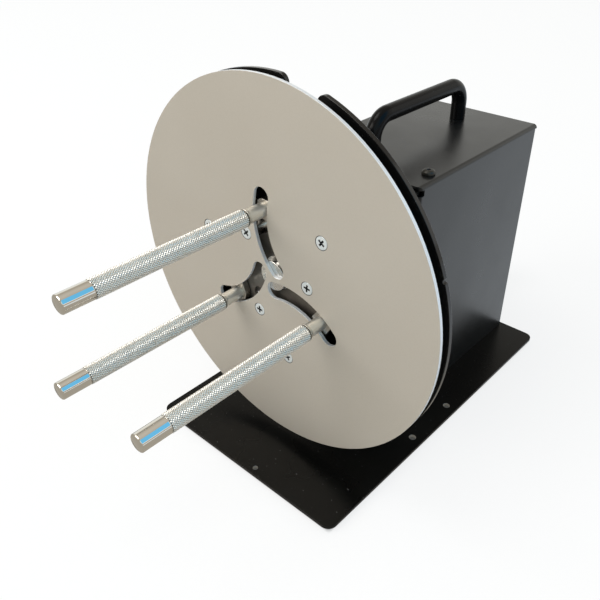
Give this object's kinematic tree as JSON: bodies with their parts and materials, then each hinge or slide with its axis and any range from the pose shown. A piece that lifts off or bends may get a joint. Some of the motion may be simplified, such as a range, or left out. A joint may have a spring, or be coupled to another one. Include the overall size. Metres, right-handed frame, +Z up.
{
  "type": "manual label rewinder",
  "caption": "Hand-cranked bench rewinder for rolls of labels: an aluminium flange with three knurled core pins that a setting disc moves in or out, on a black sheet metal stand.",
  "frame": {"origin": "centre of the four bench fixing holes, on the underside of the base plate", "axes": "+Z up, +Y away from the operator along the spindle, +X to the operator's right"},
  "size_m": [0.22, 0.4015, 0.2337],
  "materials": {
    "black_sheet": "satin",
    "handle_black": "satin",
    "disc_black": "satin",
    "crank_black": "satin",
    "grip_plastic": "gloss",
    "rubber": "matte",
    "flange_aluminium": "satin",
    "arm_steel": "satin",
    "turned_steel": "satin",
    "pin_chrome": "gloss",
    "zinc_screw": "satin",
    "black_screw": "satin",
    "bronze": "satin",
    "fibre": "matte"
  },
  "bodies": {
    "root": {"base_plate": "black_sheet", "rubber_feet": "rubber", "base_screws": "zinc_screw", "housing_cover": "black_sheet", "front_panel": "black_sheet", "rear_panel": "black_sheet", "cover_screws": "black_screw", "carry_handle": "handle_black", "handle_screws": "zinc_screw", "front_bearing": "bronze", "rear_bearing": "bronze", "bearing_screws": "zinc_screw"},
    "chuck": {"spindle": "turned_steel", "hub": "turned_steel", "hub_set_screw": "black_screw", "shaft_collar": "turned_steel", "collar_set_screw": "black_screw", "thrust_washers": "turned_steel", "front_flange": "flange_aluminium", "pivot_posts": "turned_steel", "flange_spacers": "turned_steel", "pivot_screws": "zinc_screw", "hub_screws": "zinc_screw", "friction_washer": "fibre", "crank_arm": "crank_black", "crank_set_screw": "black_screw", "grip_axle": "zinc_screw"},
    "setting_ring": {"setting_disc": "disc_black"},
    "crank_handle": {"crank_grip": "grip_plastic"},
    "jaw_1": {"swing_arm_1": "arm_steel", "knurled_pin_1": "pin_chrome", "cam_follower_1": "turned_steel"},
    "jaw_2": {"swing_arm_2": "arm_steel", "knurled_pin_2": "pin_chrome", "cam_follower_2": "turned_steel"},
    "jaw_3": {"swing_arm_3": "arm_steel", "knurled_pin_3": "pin_chrome", "cam_follower_3": "turned_steel"}
  },
  "joints": [
    {"name": "chuck_spin", "type": "hinge", "parent": "root", "child": "chuck", "pos_m": [0, -0.0147, 0.1207], "axis": [0, -1, 0], "continuous": true},
    {"name": "setting_turn", "type": "hinge", "parent": "chuck", "child": "setting_ring", "pos_m": [0, -0.06595, 0.1207], "axis": [0, -1, 0], "range_deg": [-5.96, 17.21]},
    {"name": "jaw_1_swing", "type": "hinge", "parent": "chuck", "child": "jaw_1", "pos_m": [0.03765, -0.0699, 0.15569], "axis": [0, -1, 0], "range_deg": [-11.93, 34.42]},
    {"name": "jaw_2_swing", "type": "hinge", "parent": "chuck", "child": "jaw_2", "pos_m": [-0.04913, -0.0699, 0.13581], "axis": [0, -1, 0], "range_deg": [-11.93, 34.42]},
    {"name": "jaw_3_swing", "type": "hinge", "parent": "chuck", "child": "jaw_3", "pos_m": [0.01148, -0.0699, 0.0706], "axis": [0, -1, 0], "range_deg": [-11.93, 34.42]},
    {"name": "grip_spin", "type": "hinge", "parent": "chuck", "child": "crank_handle", "pos_m": [0, 0.18, 0.0557], "axis": [0, 1, 0], "continuous": true}
  ],
  "couplings": [
    {"joint": "jaw_1_swing", "follows": "setting_turn", "ratio": 2},
    {"joint": "jaw_2_swing", "follows": "setting_turn", "ratio": 2},
    {"joint": "jaw_3_swing", "follows": "setting_turn", "ratio": 2}
  ]
}
